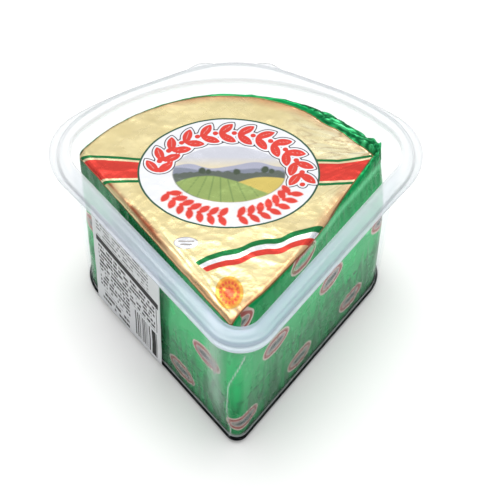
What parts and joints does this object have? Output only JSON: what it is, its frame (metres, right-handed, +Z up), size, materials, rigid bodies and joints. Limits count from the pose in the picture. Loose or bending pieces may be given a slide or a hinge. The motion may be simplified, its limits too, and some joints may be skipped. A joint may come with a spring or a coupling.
{
  "type": "gorgonzola wedge",
  "caption": "Foil-wrapped wedge of blue cheese standing point forward in an open, clear thermoformed tub with a rim flange and a paper label on its side.",
  "frame": {"origin": "on the ground, under the centre of the tub's bounding box", "axes": "+Z up; the wedge's point faces -Y and its curved back +Y"},
  "size_m": [0.1758, 0.1812, 0.091],
  "materials": {
    "clear_plastic": "clear, slightly milky",
    "foil": "lacquered foil, green sides and a gold top",
    "label_paper": "smooth"
  },
  "bodies": {
    "root": {"tub": "clear_plastic", "foil_wedge": "foil", "label": "label_paper"}
  },
  "joints": []
}
